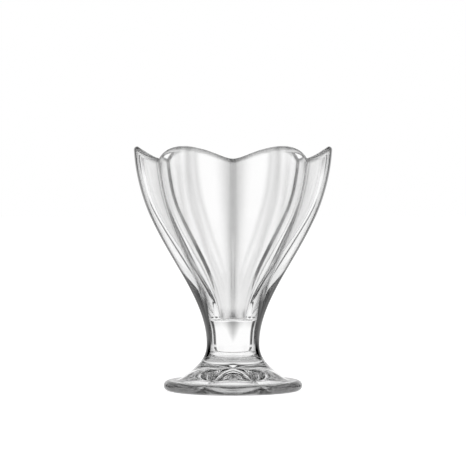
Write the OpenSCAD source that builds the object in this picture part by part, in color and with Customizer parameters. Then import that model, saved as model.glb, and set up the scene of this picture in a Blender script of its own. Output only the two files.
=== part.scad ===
// Stemmed parfait glass: a six-petal bowl with a scalloped rim, a short solid stem and a round foot.
// Base centre at the origin, Z up, one groove between two petals faces -Y. Millimetres.

/* [Overall] */
// height from the table to the petal tips
glass_h = 123; // [110:1:140]
// width across two opposite petal tips
bowl_d = 100; // [90:1:112]
// number of petals round the bowl
petals = 6; // [5:1:8]

/* [Bowl] */
// wall thickness at the rim
rim_wall = 3.2; // [2.4:0.1:4.5]
// how far the rim dips between two petals
rim_drop = 6.2; // [2:0.1:10]
// how far the grooves between the petals lie inside the tips
petal_relief = 6.3; // [2:0.1:7]
// width over which a groove is rounded, as a share of the bowl's radius
groove_soft = 0.03; // [0.02:0.01:0.2]
// height above the table at which the petals reach their full relief
petal_full_z = 62; // [50:1:80]
// height above the table from which the wall keeps its rim thickness
thin_z = 102; // [90:1:108]
// height of the bottom of the cup above the table
floor_z = 36.5; // [35:0.5:45]
// diameter of the bottom of the cup
floor_d = 15; // [10:0.5:18]
// rounding between the bottom of the cup and its wall
floor_round = 2; // [1:0.1:3]

/* [Stem] */
// diameter of the stem at its narrowest
waist_d = 26.6; // [23:0.2:30]
// height of the narrowest place above the table
waist_z = 23.5; // [21:0.5:27]
// height of the joint between the stem and the bowl
stem_top_z = 30; // [28:0.5:33]
// height of the joint between the foot and the stem
stem_bottom_z = 17; // [15:0.5:19]

/* [Foot] */
// diameter of the foot
foot_d = 70; // [66:1:80]
// thickness of the foot's rounded edge
foot_edge_h = 5.2; // [4:0.1:6]
// diameter at which the flare meets the flat top of the foot
flare_d = 57; // [52:0.5:59]
// width of the flat ring that the glass stands on
ring_w = 2.4; // [1.5:0.1:4]
// rise of the hollow under the foot
hollow_h = 6; // [4:0.1:8]
// extra rise of each vault pressed into the hollow
hollow_vault = 2.6; // [0:0.1:4]

/* [Hidden] */
$fn = 120;
clear_glass = [0.80, 0.90, 0.92, 0.5];
pitch = 360 / petals;
tip_r = bowl_d / 2;
waist_r = waist_d / 2;
foot_r = foot_d / 2;
edge_r = foot_edge_h / 2;
stand_r = foot_r - edge_r;
hollow_r = stand_r - ring_w;
// depth of a groove and its rounding at full relief, as shares of the radius
groove = petal_relief / tip_r;
groove_cut = groove + groove_soft / 4;
// depth of the grooves inside the bowl, as a share of those outside
inner_share = 0.92;
// how late the wall starts to thin, and how softly it ends
thin_start = 2;
thin_end = 2.5;
// share of the hollow's radius at which the vaults end, and their bluntness: 1 is a cosine wave
vault_end = 0.95;
vault_round = 0.35;
// sharpness of the dips in the rim: 0 is a cusp
rim_soft = 0.4;
rim_r = rim_wall / 2;
// side of the bowl from the waist to the tips: share of the height, share of the radius, steepness
bowl_curve = [[0, 0, 0], [0.367, 0.362, 1.586], [0.719, 0.853, 0.935], [1, 1, 0.081]];
// side of the flare from the foot to the waist: share of the height, share of the radius, steepness
flare_curve = [[0, 1, -3.6], [0.2, 0.62, -1.75], [0.59, 0.138, -0.746], [1, 0, 0]];
// steps round one petal, up each wall, round the rim, round the bottom of the cup
petal_steps = 12;
wall_steps = 24;
rim_steps = 6;
floor_steps = 4;
hollow_steps = 20;
around = petals * petal_steps;

function knot(t, k, i = 0) = (i < len(k) - 2 && t > k[i + 1][0]) ? knot(t, k, i + 1) : i;

// smooth curve through the knots k, each with its own steepness
function curve(t, k) =
    let (i = knot(t, k), a = k[i], b = k[i + 1], h = b[0] - a[0], s = (t - a[0]) / h)
    let (s2 = s * s, s3 = s * s * s)
    (2 * s3 - 3 * s2 + 1) * a[1] + (s3 - 2 * s2 + s) * h * a[2]
    + (3 * s2 - 2 * s3) * b[1] + (s3 - s2) * h * b[2];

function ease(t) = let (u = min(max(t, 0), 1)) u * u * (3 - 2 * u);

// outside radius at height z, along a petal's crown
function side_r(z) = (z < waist_z)
    ? waist_r + (flare_d / 2 - waist_r) * curve((z - foot_edge_h) / (waist_z - foot_edge_h), flare_curve)
    : waist_r + (tip_r - waist_r) * curve((z - waist_z) / (glass_h - waist_z), bowl_curve);

// angle from the nearest crown, for an angle az counted from -Y
function off_crown(az) = abs((az % pitch) - pitch / 2);

// one petal is a circular arc: its radius share at phi from the crown, with the groove at share q
function lobe(phi, q) =
    let (d = (1 - q * q) / (2 * (1 - q * cos(pitch / 2))), r = 1 - d)
    d * cos(phi) + sqrt(max(r * r - pow(d * sin(phi), 2), 0));

// two neighbouring petals meet in a rounded groove: s is the share of the full relief
function petal_r(phi, s) =
    let (q = 1 - s * groove_cut, k = max(s * groove_soft, 0.000001))
    let (a = lobe(phi, q), b = lobe(pitch - phi, q), h = max(k - abs(a - b), 0))
    max(a, b) + h * h / (4 * k);

function relief(z) = ease((z - stem_top_z) / (petal_full_z - stem_top_z));

function outer_r(phi, z) = side_r(z) * petal_r(phi, relief(z));

// the wall thickens from thin_z down to the bottom of the cup
floor_wall = side_r(floor_z) - floor_d / 2;
function wall(z) =
    let (t = min((z - floor_z) / (thin_z - floor_z), 1))
    rim_wall + (floor_wall - rim_wall) * pow(1 - pow(t, thin_start), thin_end);

function inner_r(phi, z) =
    let (r = side_r(z), c = r - wall(z))
    c * petal_r(phi, inner_share * relief(z) * r / c);

// height of the scalloped rim, and of the centre of its rounded edge
function rim_wave(phi) =
    (sqrt(pow(cos(phi * petals / 2), 2) + rim_soft * rim_soft) - rim_soft)
    / (sqrt(1 + rim_soft * rim_soft) - rim_soft);
function lip_z(phi) = glass_h - rim_r - rim_drop * (1 - rim_wave(phi));

// rings of the bowl as [radius, height]: up the outside, over the rim, down the inside, into the bottom
function up_outside(phi, t) = let (z = stem_top_z + (lip_z(phi) - stem_top_z) * t) [outer_r(phi, z), z];
function over_rim(phi, t) =
    let (z = lip_z(phi), o = outer_r(phi, z), i = inner_r(phi, z))
    [(o + i) / 2 + (o - i) / 2 * cos(180 * t), z + rim_r * sin(180 * t)];
function down_inside(phi, t) =
    let (low = floor_z + floor_round, z = lip_z(phi) + (low - lip_z(phi)) * t)
    [inner_r(phi, z), z];
function into_floor(phi, t) =
    let (low = floor_z + floor_round, r = inner_r(phi, low))
    [r - floor_round * (1 - cos(90 * t)), low - floor_round * sin(90 * t)];

// hollow under the foot: a dome with one round vault pressed in towards each groove of the bowl
function hollow_z(az, r) =
    let (t = r / hollow_r, u = min(t / vault_end, 1))
    hollow_h * (1 - t * t)
    + hollow_vault * sin(180 * u) * pow((1 + cos(petals * az)) / 2, vault_round);

// closed skin over rings of equal length, listed from the lower end to the upper end
function skin(rows, n) = concat(
    [[for (i = [0 : n - 1]) i]],
    [for (j = [0 : rows - 2], i = [0 : n - 1])
        let (a = j * n + i, b = j * n + (i + 1) % n) [a, a + n, b + n]],
    [for (j = [0 : rows - 2], i = [0 : n - 1])
        let (a = j * n + i, b = j * n + (i + 1) % n) [a, b + n, b]],
    [[for (i = [n - 1 : -1 : 0]) (rows - 1) * n + i]]
);

function place(az, p) = [p[0] * sin(az), -p[0] * cos(az), p[1]];

module bowl() {
    turns = [for (i = [0 : around - 1]) 360 * i / around];
    outside = [for (j = [0 : wall_steps], az = turns) place(az, up_outside(off_crown(az), j / wall_steps))];
    rim = [for (j = [1 : rim_steps], az = turns) place(az, over_rim(off_crown(az), j / rim_steps))];
    inside = [for (j = [1 : wall_steps], az = turns) place(az, down_inside(off_crown(az), j / wall_steps))];
    bottom = [for (j = [1 : floor_steps], az = turns) place(az, into_floor(off_crown(az), j / floor_steps))];
    rows = 1 + 2 * wall_steps + rim_steps + floor_steps;
    color(clear_glass)
        polyhedron(points = concat(outside, rim, inside, bottom), faces = skin(rows, around), convexity = 4);
}

module stem() {
    steps = 16;
    rise = stem_top_z - stem_bottom_z;
    side = [for (j = [0 : steps]) let (z = stem_bottom_z + rise * j / steps) [side_r(z), z]];
    color(clear_glass)
        rotate_extrude()
            polygon(concat([[0, stem_bottom_z]], side, [[0, stem_top_z]]));
}

module foot_hollow() {
    turns = [for (i = [0 : around - 1]) 360 * i / around];
    // the skin starts under the table plane, a little outside the hollow's edge, and ends near the axis
    edge = hollow_r * 1.02;
    below = -2;
    shares = [for (j = [0 : hollow_steps]) max(1 - j / hollow_steps, 0.01)];
    skirt = [for (az = turns) place(az, [edge, below])];
    dome = [for (t = shares, az = turns) place(az, [edge * t, hollow_z(az, edge * t)])];
    polyhedron(points = concat(skirt, dome), faces = skin(hollow_steps + 2, around), convexity = 4);
}

module foot() {
    steps = 14;
    rise = stem_bottom_z - foot_edge_h;
    edge = [for (a = [-90 : 15 : 90]) [stand_r + edge_r * cos(a), edge_r + edge_r * sin(a)]];
    flare = [for (j = [0 : steps]) let (z = foot_edge_h + rise * j / steps) [side_r(z), z]];
    color(clear_glass)
        difference() {
            rotate_extrude()
                polygon(concat([[0, 0]], edge, flare, [[0, stem_bottom_z]]));
            foot_hollow();
        }
}

bowl();
stem();
foot();
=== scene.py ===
"""Parfait glass: a bowl, a stem and a foot of smooth clear glass, on a white floor in a white studio."""
import math

import bpy
import numpy as np
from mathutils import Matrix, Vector


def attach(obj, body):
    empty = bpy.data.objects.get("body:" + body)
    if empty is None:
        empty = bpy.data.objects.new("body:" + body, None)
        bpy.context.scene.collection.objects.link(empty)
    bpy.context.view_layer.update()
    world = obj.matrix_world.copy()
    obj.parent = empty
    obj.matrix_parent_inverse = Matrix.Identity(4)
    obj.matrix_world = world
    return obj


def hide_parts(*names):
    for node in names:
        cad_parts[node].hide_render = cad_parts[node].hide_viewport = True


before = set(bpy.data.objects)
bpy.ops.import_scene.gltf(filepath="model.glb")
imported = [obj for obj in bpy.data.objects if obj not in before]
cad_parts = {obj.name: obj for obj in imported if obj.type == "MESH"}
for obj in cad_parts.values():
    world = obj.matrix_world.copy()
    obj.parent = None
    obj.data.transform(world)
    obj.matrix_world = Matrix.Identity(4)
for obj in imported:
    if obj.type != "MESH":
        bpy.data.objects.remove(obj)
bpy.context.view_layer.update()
scene = bpy.context.scene
MM = 0.001

# ---- sizes of the glass, in millimetres ----
GLASS_H, BOWL_D, PETALS = 123.0, 100.0, 6
RIM_WALL, RIM_DROP, RIM_SOFT = 3.2, 6.2, 0.4
PETAL_RELIEF, GROOVE_SOFT, PETAL_FULL_Z = 6.3, 0.03, 62.0
INNER_SHARE, THIN_Z, THIN_START, THIN_END = 0.92, 102.0, 2.0, 2.5
FLOOR_Z, FLOOR_D, FLOOR_ROUND = 36.5, 15.0, 2.0
WAIST_D, WAIST_Z, STEM_TOP_Z, STEM_BOTTOM_Z = 26.6, 23.5, 30.0, 17.0
FOOT_D, FOOT_EDGE_H, FLARE_D, RING_W = 70.0, 5.2, 57.0, 2.4
HOLLOW_H, HOLLOW_VAULT, VAULT_END, VAULT_ROUND = 6.0, 2.6, 0.95, 0.35
# sides of the bowl and of the flare: share of the height, share of the radius, steepness
BOWL_CURVE = [(0, 0, 0), (0.367, 0.362, 1.586), (0.719, 0.853, 0.935), (1, 1, 0.081)]
FLARE_CURVE = [(0, 1, -3.6), (0.2, 0.62, -1.75), (0.59, 0.138, -0.746), (1, 0, 0)]
TIP_R, WAIST_R, FLARE_R = BOWL_D / 2, WAIST_D / 2, FLARE_D / 2
EDGE_R = FOOT_EDGE_H / 2
STAND_R = FOOT_D / 2 - EDGE_R
HOLLOW_R = STAND_R - RING_W
RIM_R = RIM_WALL / 2
PITCH = 2 * math.pi / PETALS
GROOVE_CUT = PETAL_RELIEF / TIP_R + GROOVE_SOFT / 4
MIN_SOFT = 1e-6

# ---- steps round the glass: closer together near the grooves ----
HALF_STEPS, CROWD = 26, 0.7
to_crown = np.arange(HALF_STEPS + 1) / HALF_STEPS
to_crown = PITCH / 2 * ((1 - CROWD) * to_crown + CROWD * to_crown**2)
one_petal = np.concatenate([to_crown[:-1], PITCH - to_crown[:0:-1]])
AZ = np.concatenate([one_petal + PITCH * k for k in range(PETALS)])
AROUND = len(AZ)
PHI = np.abs(np.mod(AZ, PITCH) - PITCH / 2)


# ---- formulas of the shape ----
def curve(t, knots):
    """Smooth curve through knots of (place, value, steepness)."""
    t = np.asarray(t, float)
    out = np.zeros_like(t)
    for (t0, v0, m0), (t1, v1, m1) in zip(knots, knots[1:]):
        at = (t >= t0) & (t <= t1)
        h = t1 - t0
        s = (t[at] - t0) / h
        out[at] = ((2 * s**3 - 3 * s**2 + 1) * v0 + (s**3 - 2 * s**2 + s) * h * m0
                   + (3 * s**2 - 2 * s**3) * v1 + (s**3 - s**2) * h * m1)
    return out


def ease(t):
    """Smooth step from 0 at 0 to 1 at 1."""
    u = np.clip(t, 0, 1)
    return u * u * (3 - 2 * u)


def between(value, ends):
    """Smooth step from 0 at the first end to 1 at the second."""
    return ease((value - ends[0]) / (ends[1] - ends[0]))


def side_r(z):
    """Outside radius at height z, along a petal's crown."""
    z = np.asarray(z, float)
    low = curve((z - FOOT_EDGE_H) / (WAIST_Z - FOOT_EDGE_H), FLARE_CURVE)
    high = curve((z - WAIST_Z) / (GLASS_H - WAIST_Z), BOWL_CURVE)
    return WAIST_R + np.where(z < WAIST_Z, (FLARE_R - WAIST_R) * low, (TIP_R - WAIST_R) * high)


def lobe(phi, q):
    """One petal as a circular arc: radius share at phi from its crown, with the groove at the share q."""
    d = (1 - q * q) / (2 * (1 - q * math.cos(PITCH / 2)))
    return d * np.cos(phi) + np.sqrt(np.maximum((1 - d) ** 2 - (d * np.sin(phi)) ** 2, 0))


def petal_r(s):
    """Radius share round the glass, with the share s of the full relief."""
    q, k = 1 - s * GROOVE_CUT, np.maximum(s * GROOVE_SOFT, MIN_SOFT)
    a, b = lobe(PHI, q), lobe(PITCH - PHI, q)
    h = np.maximum(k - np.abs(a - b), 0)
    return np.maximum(a, b) + h * h / (4 * k)


def relief(z):
    """Share of the petals' full relief at height z."""
    return between(z, (STEM_TOP_Z, PETAL_FULL_Z))


def outer_r(z):
    return side_r(z) * petal_r(relief(z))


FLOOR_WALL = float(side_r(FLOOR_Z)) - FLOOR_D / 2


def inner_r(z):
    """Inside radius at height z: the wall thickens from THIN_Z down to the bottom of the cup."""
    t = np.minimum((z - FLOOR_Z) / (THIN_Z - FLOOR_Z), 1)
    r = side_r(z)
    c = r - RIM_WALL - (FLOOR_WALL - RIM_WALL) * (1 - t**THIN_START) ** THIN_END
    return c * petal_r(INNER_SHARE * relief(z) * r / c)


def hollow_z(r):
    """Height of the hollow under the foot: a dome with one round vault towards each groove."""
    t = r / HOLLOW_R
    vault = math.sin(math.pi * min(t / VAULT_END, 1)) * ((1 + np.cos(PETALS * AZ)) / 2) ** VAULT_ROUND
    return HOLLOW_H * (1 - t * t) + HOLLOW_VAULT * vault


wave = np.sqrt(np.cos(PHI * PETALS / 2) ** 2 + RIM_SOFT**2) - RIM_SOFT
RIM_WAVE = wave / (math.sqrt(1 + RIM_SOFT**2) - RIM_SOFT)
LIP_Z = GLASS_H - RIM_R - RIM_DROP * (1 - RIM_WAVE)

# ---- the whole skin as rings, from the middle of the hollow to the bottom of the cup ----
HOLLOW_STEPS, BEND_STEPS, STAND_STEPS, EDGE_STEPS, TOP_STEPS = 70, 7, 4, 32, 7
FLARE_STEPS, FLARE_CROWD, STEM_STEPS = 52, 1.4, 39
OUTSIDE_STEPS, OUTSIDE_CROWD, RIM_STEPS = 119, 0.45, 18
INSIDE_STEPS, ROUND_STEPS, BOTTOM_STEPS = 110, 10, 11
# radius shares: the smallest ring round the axis, and the soft bend at the edge of the hollow
AXIS, DOME_END, BEND_IN, BEND_OUT = 0.004, 0.985, 0.99, 1.01
rings = []


def ring(r, z):
    """Adds a ring; r and z are numbers, or have one value for each step round the glass."""
    rings.append([np.broadcast_to(np.asarray(value, float), AZ.shape) for value in (r, z)])


def shares(steps):
    """Even shares of a stretch, without its start, where the stretch before it ends."""
    return np.linspace(0, 1, steps + 1)[1:]


for t in np.linspace(AXIS, DOME_END, HOLLOW_STEPS):
    ring(HOLLOW_R * t, hollow_z(HOLLOW_R * t))
for t in np.linspace(0, 1, BEND_STEPS):
    ring(HOLLOW_R * (BEND_IN + (BEND_OUT - BEND_IN) * t), hollow_z(HOLLOW_R * BEND_IN) * (1 - t) ** 2)
for t in shares(STAND_STEPS):
    ring(HOLLOW_R * BEND_OUT + (STAND_R - HOLLOW_R * BEND_OUT) * t, 0)
for a in math.pi * (shares(EDGE_STEPS) - 0.5):
    ring(STAND_R + EDGE_R * math.cos(a), EDGE_R + EDGE_R * math.sin(a))
for t in shares(TOP_STEPS)[:-1]:
    ring(STAND_R + (FLARE_R - STAND_R) * t, FOOT_EDGE_H)
for t in np.linspace(0, 1, FLARE_STEPS) ** FLARE_CROWD:
    z = FOOT_EDGE_H + (STEM_BOTTOM_Z - FOOT_EDGE_H) * t
    ring(side_r(z), z)
foot_end = len(rings) - 1
for z in STEM_BOTTOM_Z + (STEM_TOP_Z - STEM_BOTTOM_Z) * shares(STEM_STEPS):
    ring(side_r(z), z)
stem_end = len(rings) - 1
for t in shares(OUTSIDE_STEPS):
    z = STEM_TOP_Z + (LIP_Z - STEM_TOP_Z) * ((1 - OUTSIDE_CROWD) * t + OUTSIDE_CROWD * t * t)
    ring(outer_r(z), z)
rim_top = len(rings) - 1 + RIM_STEPS // 2
rim_out, rim_in = outer_r(LIP_Z), inner_r(LIP_Z)
for a in math.pi * shares(RIM_STEPS)[:-1]:
    ring((rim_out + rim_in) / 2 + (rim_out - rim_in) / 2 * math.cos(a), LIP_Z + RIM_R * math.sin(a))
inside = len(rings)
low_z = FLOOR_Z + FLOOR_ROUND
for t in np.linspace(0, 1, INSIDE_STEPS):
    z = LIP_Z + (low_z - LIP_Z) * t
    ring(inner_r(z), z)
low_r = inner_r(np.full_like(AZ, low_z))
for a in math.pi / 2 * shares(ROUND_STEPS):
    ring(low_r - FLOOR_ROUND * (1 - math.cos(a)), low_z - FLOOR_ROUND * math.sin(a))
for t in np.linspace(1, AXIS, BOTTOM_STEPS + 1)[1:]:
    ring((low_r - FLOOR_ROUND) * t, FLOOR_Z)

R, Z = (np.array(values) for values in zip(*rings))
POINTS = np.stack([R * np.sin(AZ), -R * np.cos(AZ), Z], -1) * MM
N_RINGS = len(rings)
crown_steps = np.linalg.norm(np.diff(POINTS[:, HALF_STEPS], axis=0), axis=-1)
LENGTH = np.concatenate([[0], np.cumsum(crown_steps)])

# normals of the whole skin, so that the three pieces shade as one
along = np.gradient(POINTS, LENGTH, axis=0)
wrapped = np.concatenate([POINTS[:, -1:], POINTS, POINTS[:, :1]], 1)
angles = np.concatenate([[AZ[-1] - 2 * math.pi], AZ, [2 * math.pi]])
round_it = np.gradient(wrapped, angles, axis=1)[:, 1:-1]
NORMALS = np.cross(round_it, along)
NORMALS /= np.linalg.norm(NORMALS, axis=-1, keepdims=True)
NORMALS[0], NORMALS[-1] = (0, 0, -1), (0, 0, 1)

# ---- painted shade: each grey is the share of light taken off at each surface it crosses, standing in for shading; heights in mm, widths in degrees of turn ----
# painted shade: a soft grey band down each groove of the bowl
GROOVE_PAINTED_SHADE, GROOVE_WIDE, GROOVE_RISE = 0.32, 11.5, (34, 50)
# painted shade: two faint dark streaks on each petal, with their distance from its crown by height
STREAK_PAINTED_SHADE, STREAK_WIDE, STREAK_RISE = 0.23, 1.8, (48, 68)
STREAK_OFF = [(30, 14), (56, 12), (73, 6.5), (110, 3.5), (130, 3.0)]
# painted shade: a faint darker band round the lower bowl
LOW_PAINTED_SHADE, LOW_RISE, LOW_FALL = 0.06, (32, 42), (52, 68)
# painted shade bands in mm: a dark line up from the middle of the rounded rim, and a dark band out from the
# standing ring to the foot's edge
RIM_PAINTED_SHADE, RIM_BAND = 0.5, (-1, 0.6)
FOOT_PAINTED_SHADE, FOOT_BAND = 0.75, (-1.5, 1)
# painted shade at the bottom of the cup: a dark fade on the wall under each groove, and a share of it all round
BOTTOM_PAINTED_SHADE, BOTTOM_EVEN, BOTTOM_FADE, BOTTOM_WIDE = 0.93, 0.25, 7, 25
# painted shade as dark outlines where the outside is seen at a grazing angle: weak on the foot and near the
# grooves
FOOT_OUTLINE_SHADE_SHARE, EDGE_RISE = 0.1, (10, 18)
EDGE_OFF_GROOVE, EDGE_GROOVE_RISE = 20, (45, 60)
# wider painted dark outlines on the stem and the solid lower bowl
MORE_OUTLINE_SHADE, MORE_RISE, MORE_FALL = 0.25, (14, 20), (48, 62)

off_crown = np.degrees(PHI)[None, :]
off_groove = math.degrees(PITCH / 2) - off_crown
groove_shade_mask = np.clip(1 - off_groove / GROOVE_WIDE, 0, 1)
streak_at = np.interp(Z, *zip(*STREAK_OFF))
streak_shade_mask = np.exp(-(((off_crown - streak_at) / STREAK_WIDE) ** 2))
PAINTED_SHADE_CLEAR = 1 - GROOVE_PAINTED_SHADE * between(Z, GROOVE_RISE) * groove_shade_mask
PAINTED_SHADE_CLEAR -= STREAK_PAINTED_SHADE * between(Z, STREAK_RISE) * streak_shade_mask
PAINTED_SHADE_CLEAR -= LOW_PAINTED_SHADE * between(Z, LOW_RISE) * (1 - between(Z, LOW_FALL))
PAINTED_SHADE_CLEAR -= RIM_PAINTED_SHADE * between(Z - LIP_Z, RIM_BAND)
PAINTED_SHADE_CLEAR[:stem_end] = 1 - FOOT_PAINTED_SHADE * between(R[:stem_end] - STAND_R, FOOT_BAND)
over_floor = Z[inside:] - FLOOR_Z
floor_shade_fade = ease(1 - over_floor / BOTTOM_FADE)
under_groove_shade_mask = ease(over_floor / FLOOR_ROUND) * ease(1 - off_groove / BOTTOM_WIDE)
PAINTED_SHADE_CLEAR[inside:] -= BOTTOM_PAINTED_SHADE * floor_shade_fade * (BOTTOM_EVEN + (1 - BOTTOM_EVEN) * under_groove_shade_mask)

OUTLINE_SHADE = FOOT_OUTLINE_SHADE_SHARE + (1 - FOOT_OUTLINE_SHADE_SHARE) * between(Z, EDGE_RISE)
near_groove = 1 - ease(off_groove / EDGE_OFF_GROOVE)
OUTLINE_SHADE[stem_end:] *= 1 - near_groove * between(Z[stem_end:], EDGE_GROOVE_RISE)
OUTLINE_SHADE[rim_top:] = 0
WIDE_OUTLINE_SHADE = MORE_OUTLINE_SHADE * between(Z, MORE_RISE) * (1 - between(Z, MORE_FALL))
# attributes of the meshes, each with its value on the lids: the painted shade, and the strength and widening of
# the painted dark outlines
PAINTED_SHADE_TINTS = {"clear": (PAINTED_SHADE_CLEAR, 1.0), "outline_shade": (OUTLINE_SHADE, 0.0), "wide_outline_shade": (WIDE_OUTLINE_SHADE, 0.0)}

# ---- pieces ----
UV_MARGIN, UV_LID = 0.02, 0.005
GLASS_SLOT, SEAM_SLOT = 0, 1


def piece(name, first, last):
    """Closed piece from ring first to ring last, with a flat lid at each end."""
    rows, n = last - first + 1, AROUND
    skin = slice(first, last + 1)
    verts, normals = [POINTS[skin].reshape(-1, 3)], [NORMALS[skin].reshape(-1, 3)]
    j, k = np.meshgrid(np.arange(rows - 1), np.arange(n), indexing="ij")
    a, b = j * n + k, j * n + (k + 1) % n
    faces = np.stack([a, b, b + n, a + n], -1).reshape(-1, 4).tolist()
    up_share = (LENGTH[skin] - LENGTH[first]) / (LENGTH[last] - LENGTH[first])
    corners = ((k, j), (k + 1, j), (k + 1, j + 1), (k, j + 1))
    uv = np.stack([np.stack([step / n, up_share[row]], -1) for step, row in corners], 2)
    uvs = [uv.reshape(-1, 2) * (1 - 2 * UV_MARGIN) + UV_MARGIN]
    slots = [GLASS_SLOT] * len(faces)
    count = rows * n
    for end, up in ((first, -1), (last, 1)):
        fused = 0 < end < N_RINGS - 1
        edge = POINTS[end]
        verts += [edge, edge.mean(0)[None]]
        normals.append(np.tile([0, 0, up if fused else NORMALS[end, 0, 2]], (n + 1, 1)))
        for m in range(n):
            one, two = count + m, count + (m + 1) % n
            faces.append([one, two, count + n] if up > 0 else [two, one, count + n])
        slots += [SEAM_SLOT if fused else GLASS_SLOT] * n
        uvs.append(np.full((3 * n, 2), 1 - UV_LID if up > 0 else UV_LID))
        count += n + 1
    mesh = bpy.data.meshes.new(name)
    mesh.from_pydata(np.concatenate(verts).tolist(), [], faces)
    mesh.polygons.foreach_set("use_smooth", [True] * len(mesh.polygons))
    mesh.polygons.foreach_set("material_index", slots)
    mesh.uv_layers.new(name="OFBake").data.foreach_set("uv", np.concatenate(uvs).ravel())
    for key, (field, on_lid) in PAINTED_SHADE_TINTS.items():
        values = np.concatenate([field[skin].reshape(-1), np.full(2 * (n + 1), on_lid)])
        mesh.attributes.new(key, "FLOAT", "POINT").data.foreach_set("value", values)
    mesh.normals_split_custom_set_from_vertices(np.concatenate(normals).tolist())
    ob = bpy.data.objects.new(name, mesh)
    scene.collection.objects.link(ob)
    return ob


# ---- materials ----
IOR = 1.52
# faint cloudiness of pressed glass: the noise between these values makes it this clear to fully clear
CLOUD_SCALE, CLOUD_DETAIL, CLOUD_FROM, CLOUD_TO, CLOUD_CLEAR = 28.0, 2.0, 0.3, 0.7, 0.985
# Layer Weight's Facing where a painted dark outline begins, and where it is full
EDGE_FROM, EDGE_TO = 0.5, 0.72


def nodes_of(tree):
    """Empties a node tree and returns a function that adds a node with its links, values and settings."""
    tree.nodes.clear()

    def make(kind, *links, **settings):
        made = tree.nodes.new("ShaderNode" + kind)
        for key, value in settings.items():
            setattr(made, key, value)
        for place, value in links:
            if isinstance(value, bpy.types.NodeSocket):
                tree.links.new(value, made.inputs[place])
            else:
                made.inputs[place].default_value = value
        return made
    return make


def maths_of(node):
    """Returns a function that adds a Math node of two values."""
    def maths(what, one, two):
        return node("Math", (0, one), (1, two), operation=what).outputs[0]
    return maths


def new_material(name):
    material = bpy.data.materials.new(name)
    material.use_nodes = True
    return material, nodes_of(material.node_tree)


def pressed_glass_with_painted_shade():
    material, node = new_material("pressed_glass_painted_shade")
    maths = maths_of(node)
    # the colour carries painted shade: grey bands and streaks from the attributes, and dark outlines at grazing
    # angles
    clear, outline_shade, wide_outline_shade = (node("Attribute", attribute_name=key).outputs["Fac"] for key in PAINTED_SHADE_TINTS)
    place = node("TexCoord").outputs["Object"]
    cloud = node("TexNoise", ("Vector", place), ("Scale", CLOUD_SCALE), ("Detail", CLOUD_DETAIL)).outputs[0]
    drift = node("MapRange", (0, cloud), (1, CLOUD_FROM), (2, CLOUD_TO), (3, CLOUD_CLEAR), (4, 1.0)).outputs[0]
    facing = maths("ADD", node("LayerWeight").outputs["Facing"], wide_outline_shade)
    edge = node("MapRange", (0, facing), (1, EDGE_FROM), (2, EDGE_TO), (3, 0.0), (4, 1.0)).outputs[0]
    after_painted_outline = maths("SUBTRACT", 1.0, maths("MULTIPLY", edge, outline_shade))
    # colour: random cloudiness times the painted shade
    cloud_and_painted_shade = maths("MULTIPLY", maths("MULTIPLY", clear, drift), after_painted_outline)
    cloud_and_shade_tone = node("CombineColor", (0, cloud_and_painted_shade), (1, cloud_and_painted_shade), (2, cloud_and_painted_shade)).outputs[0]
    bsdf = node("BsdfPrincipled", ("Base Color", cloud_and_shade_tone), ("Transmission Weight", 1.0), ("Roughness", 0.0),
                ("IOR", IOR))
    node("OutputMaterial", ("Surface", bsdf.outputs[0]))
    return material


def fused_seam():
    """Where two pieces are fused, no face shows inside the glass."""
    material, node = new_material("fused_seam")
    node("OutputMaterial", ("Surface", node("BsdfTransparent").outputs[0]))
    return material


glass, seam = pressed_glass_with_painted_shade(), fused_seam()
for name, first, last in (("foot", 0, foot_end), ("stem", foot_end, stem_end), ("bowl", stem_end, N_RINGS - 1)):
    ob = piece(f"glass_{name}", first, last)
    ob.data.materials.append(glass)
    ob.data.materials.append(seam)
    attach(ob, "root")
    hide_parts(name)

# ---- floor: white with a faint shadow for the camera; rays from the glass pass it and see the studio ----
FLOOR_HALF, FLOOR_UNDER = 4, 0.00005
FLOOR_TONE, FLOOR_GLOW = 0.8, 0.9


def pale_floor():
    material, node = new_material("pale_floor")
    lit = node("BsdfDiffuse", ("Color", (FLOOR_TONE, FLOOR_TONE, FLOOR_TONE, 1)))
    glow = node("Emission", ("Color", (1, 1, 1, 1)), ("Strength", FLOOR_GLOW))
    both = node("AddShader", (0, lit.outputs[0]), (1, glow.outputs[0]))
    to_camera = node("LightPath").outputs["Is Camera Ray"]
    mix = node("MixShader", (0, to_camera), (1, node("BsdfTransparent").outputs[0]), (2, both.outputs[0]))
    node("OutputMaterial", ("Surface", mix.outputs[0]))
    return material


square = ((-1, -1), (1, -1), (1, 1), (-1, 1))
floor_mesh = bpy.data.meshes.new("floor")
floor_mesh.from_pydata([(FLOOR_HALF * x, FLOOR_HALF * y, -FLOOR_UNDER) for x, y in square], [], [(0, 1, 2, 3)])
floor_mesh.materials.append(pale_floor())
floor = bpy.data.objects.new("floor", floor_mesh)
scene.collection.objects.link(floor)

# ---- light: a white studio with dark upright strips, which draw the edges of the glass ----
# the first number is in degrees, round from straight behind the glass or above the horizon; the second is a
# brightness or a share, and in LIMIT degrees above the horizon
# behind: white up to the limit, dark above it, and white again overhead
LIMIT = [(0, -3), (4, 1), (9, 8), (15, 12), (180, 12)]
LIMIT_FADE, LIMIT_DARK = 0.36, 0.05
OVERHEAD = [(34, 0), (42, 1)]
BACK_LOW = [(-90, 0.8), (-50, 0.8), (-32, 1), (90, 1)]
# a narrow dark bar on each side behind, and how far it is lightened by height
BAR = [(0, 1), (28.5, 1), (30.5, 0.05), (35.5, 0.05), (36.5, 1), (180, 1)]
BAR_LOW = [(-90, 1), (-40, 1), (-34, 0.1), (-14, 0.1), (-11, 0.8), (-6, 0.8), (-4, 0), (90, 0)]
# beside: a dark strip, a white gap and another dark strip
STRIP = [(-90, 1), (-8, 1), (-3, 0.3), (0, 0.15), (4, 0), (90, 0)]
GAP = [(-90, 1), (8, 1), (18, 0), (90, 0)]
# in front: white, with a dark top
FRONT = [(-90, 1), (52, 1), (62, 0.05), (90, 0.05)]
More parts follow.
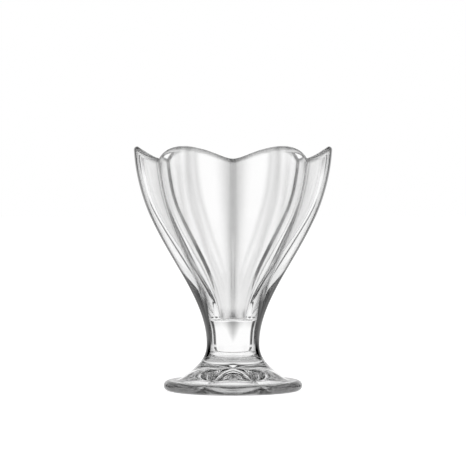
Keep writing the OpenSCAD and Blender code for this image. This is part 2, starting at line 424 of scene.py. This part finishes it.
# where one part of the studio gives way to the next
TO_SIDE = [(39, 0), (41, 1)]
TO_GAP = [(63, 0), (68, 1), (110, 1), (115, 0)]
TO_FRONT = [(134, 0), (142, 1)]


def height_share(degrees):
    """0 straight down, 0.5 at the horizon and 1 straight up."""
    return (math.sin(math.radians(degrees)) + 1) / 2


def studio():
    world = bpy.data.worlds.new("studio")
    world.use_nodes = True
    node = nodes_of(world.node_tree)
    maths = maths_of(node)

    def blend(share, one, two):
        return node("Mix", (0, share), (2, one), (3, two)).outputs[0]

    def ramp(source, stops):
        made = node("ValToRGB", (0, source))
        elements = made.color_ramp.elements
        elements.remove(elements[1])
        for k, (place, value) in enumerate(stops):
            stop = elements[0] if k == 0 else elements.new(place)
            stop.position, stop.color = place, (value, value, value, 1)
        return made.outputs[0]

    way = node("SeparateXYZ", (0, node("TexCoord").outputs["Generated"]))
    across = node("Math", (0, way.outputs["X"]), operation="ABSOLUTE").outputs[0]
    turn = maths("DIVIDE", maths("ARCTAN2", across, way.outputs["Y"]), math.pi)
    rise = node("MapRange", (0, way.outputs["Z"]), (1, -1.0), (2, 1.0), (3, 0.0), (4, 1.0)).outputs[0]

    def by_turn(stops):
        return ramp(turn, [(degrees / 180, value) for degrees, value in stops])

    def by_rise(stops):
        return ramp(rise, [(height_share(degrees), value) for degrees, value in stops])

    over = maths("SUBTRACT", rise, by_turn([(degrees, height_share(top)) for degrees, top in LIMIT]))
    wall = node("MapRange", (0, over), (1, 0.0), (2, LIMIT_FADE / 2), (3, 1.0), (4, LIMIT_DARK)).outputs[0]
    wall = maths("MAXIMUM", wall, by_rise(OVERHEAD))
    bars = maths("MAXIMUM", by_turn(BAR), by_rise(BAR_LOW))
    behind = maths("MULTIPLY", wall, maths("MULTIPLY", by_rise(BACK_LOW), bars))
    beside = blend(by_turn(TO_GAP), by_rise(STRIP), by_rise(GAP))
    light = blend(by_turn(TO_FRONT), blend(by_turn(TO_SIDE), behind, beside), by_rise(FRONT))
    # the camera itself sees plain white
    seen = maths("MAXIMUM", light, node("LightPath").outputs["Is Camera Ray"])
    node("OutputWorld", (0, node("Background", (0, seen)).outputs[0]))
    return world


scene.world = studio()

# ---- camera: in front of a groove, a little above the rim's dips; PIXEL is one pixel's width there, in mm ----
IMAGE_PIXELS, PIXEL, SENSOR = 466, 0.5035, 36
FAR, EYE_Z, MIDDLE_Z = 1427.0, 118.0, 79.4
cam_data = bpy.data.cameras.new("camera")
cam_data.sensor_width = SENSOR
cam_data.lens = SENSOR * FAR / (IMAGE_PIXELS * PIXEL)
cam_data.clip_end = 100
cam = bpy.data.objects.new("camera", cam_data)
cam.location = (0, -FAR * MM, EYE_Z * MM)
cam.rotation_euler = Vector((0, FAR, MIDDLE_Z - EYE_Z)).to_track_quat("-Z", "Y").to_euler()
scene.collection.objects.link(cam)
scene.camera = cam

scene.view_settings.view_transform = "Standard"
# enough bounces for light that crosses many glass surfaces
scene.cycles.max_bounces = 32
scene.cycles.transmission_bounces = 32
scene.cycles.glossy_bounces = 16
